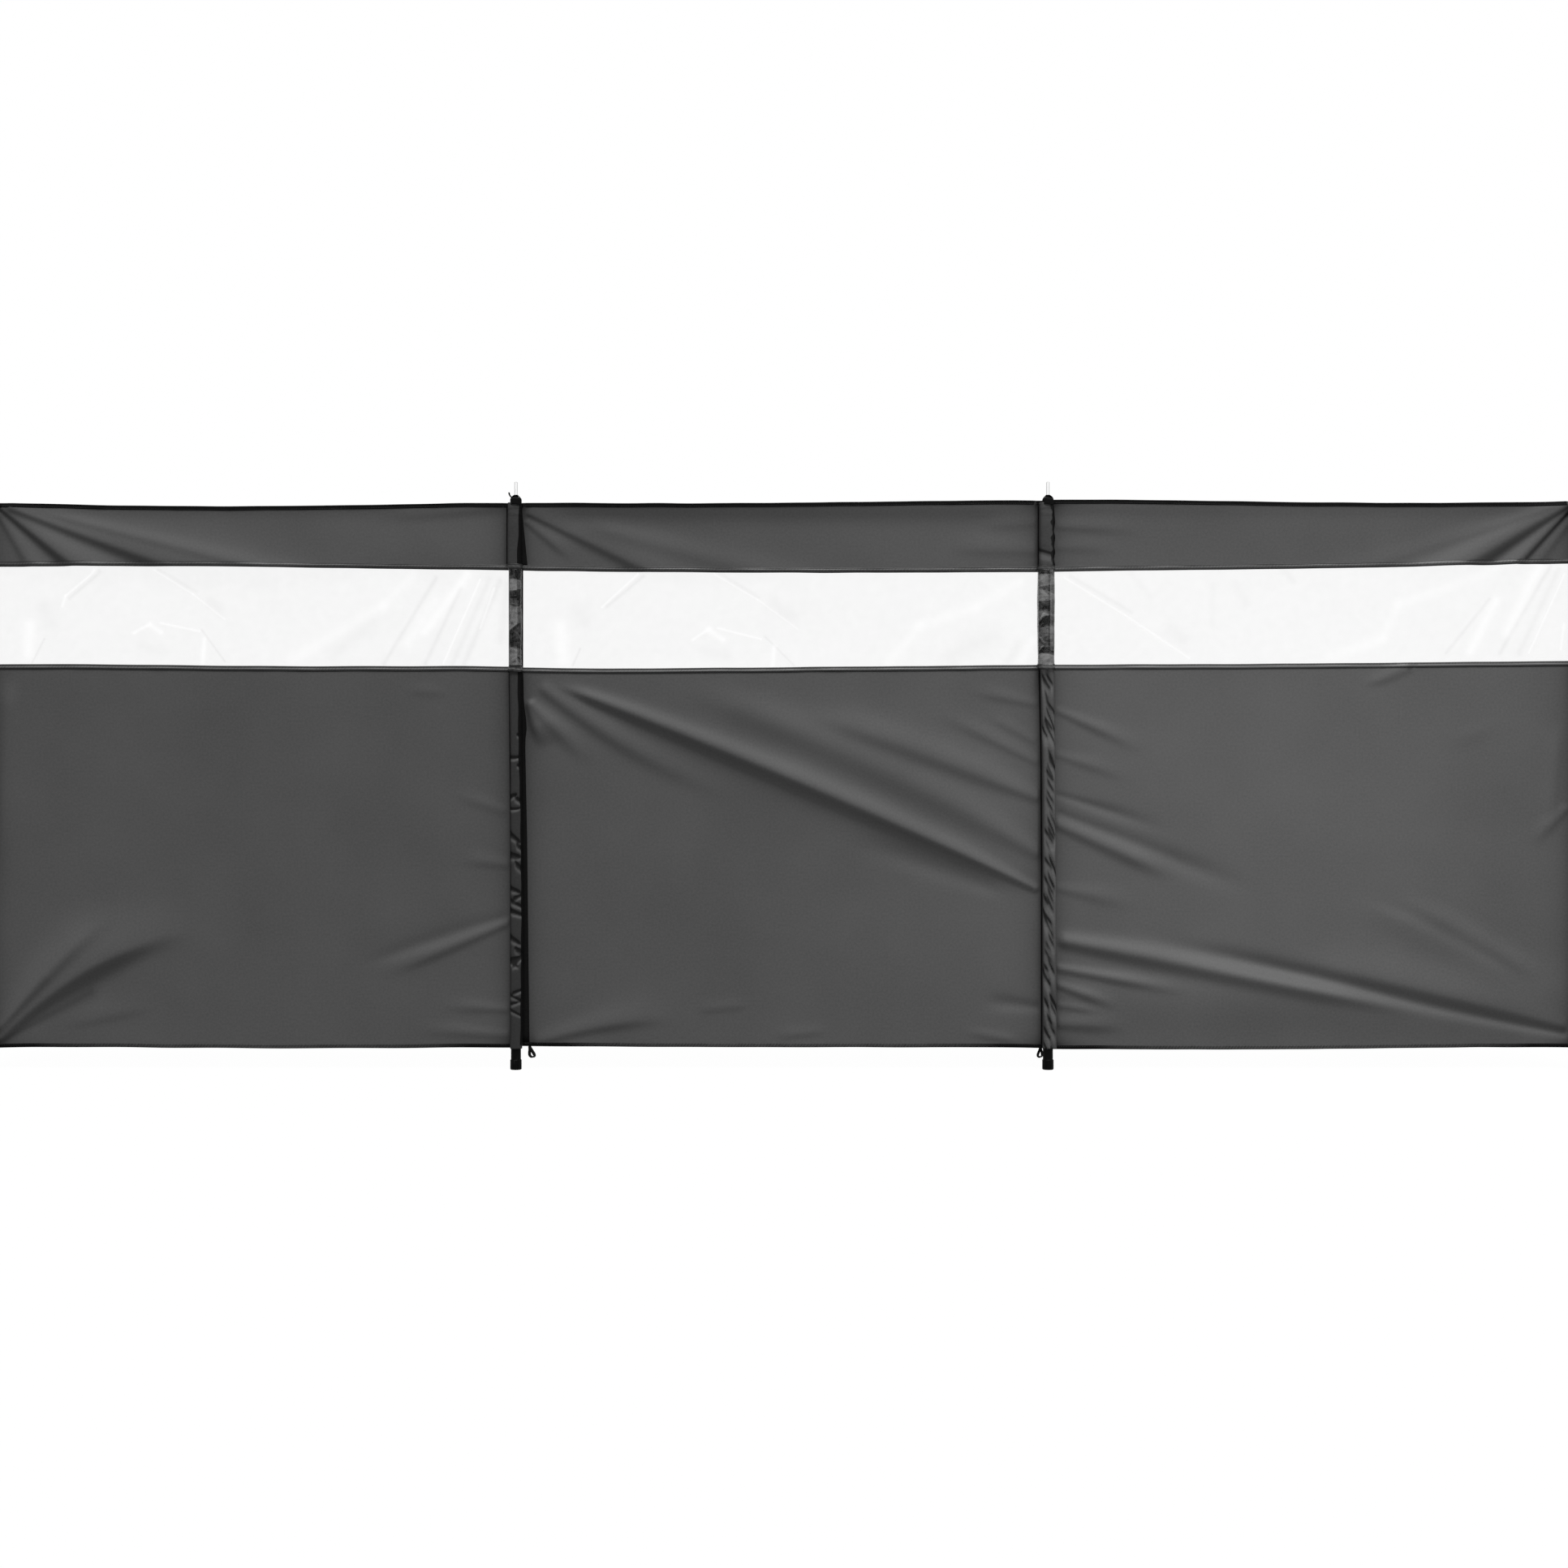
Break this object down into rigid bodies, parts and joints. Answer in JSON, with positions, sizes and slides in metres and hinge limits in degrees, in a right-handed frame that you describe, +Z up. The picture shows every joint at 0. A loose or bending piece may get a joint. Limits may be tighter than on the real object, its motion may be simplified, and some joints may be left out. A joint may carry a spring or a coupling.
{
  "type": "windbreak",
  "caption": "Fabric windbreak of flat bays with a clear window strip, held upright by steel poles in sewn sleeves with feet, spigots and peg loops.",
  "frame": {"origin": "middle of the flat underside of the first pole's foot, on the ground", "axes": "+X along the bays from the first pole to the last, +Z up, the sleeves on the -Y side of the cloth"},
  "size_m": [4.114, 0.033, 1.5019],
  "materials": {
    "grey_cloth": "dark grey coated polyester, fine plain weave",
    "clear_film": "clear flexible film, glossy",
    "black_webbing": "black woven tape",
    "grey_binding": "grey satin tape",
    "steel": "bright zinc-plated steel",
    "black_plastic": "black moulded plastic, slightly shiny"
  },
  "bodies": {
    "root": {"pole_tube_1": "steel", "pole_foot_1": "black_plastic", "pole_cap_1": "black_plastic", "spigot_1": "steel", "sleeve_1": "grey_cloth", "top_strap_1": "black_webbing", "peg_loop_1": "black_webbing", "pole_tube_2": "steel", "pole_foot_2": "black_plastic", "pole_cap_2": "black_plastic", "spigot_2": "steel", "sleeve_2": "grey_cloth", "top_strap_2": "black_webbing", "peg_loop_2": "black_webbing", "pole_tube_3": "steel", "pole_foot_3": "black_plastic", "pole_cap_3": "black_plastic", "spigot_3": "steel", "sleeve_3": "grey_cloth", "top_strap_3": "black_webbing", "peg_loop_3": "black_webbing", "pole_tube_4": "steel", "pole_foot_4": "black_plastic", "pole_cap_4": "black_plastic", "spigot_4": "steel", "sleeve_4": "grey_cloth", "top_strap_4": "black_webbing", "peg_loop_4": "black_webbing", "lower_panel_1": "grey_cloth", "window_1": "clear_film", "upper_panel_1": "grey_cloth", "lower_panel_2": "grey_cloth", "window_2": "clear_film", "upper_panel_2": "grey_cloth", "lower_panel_3": "grey_cloth", "window_3": "clear_film", "upper_panel_3": "grey_cloth", "window_sleeves": "clear_film", "seam_tapes": "black_webbing", "top_hem": "black_webbing", "window_top_binding": "grey_binding", "window_bottom_binding": "grey_binding", "bottom_hem": "black_webbing"}
  },
  "joints": []
}
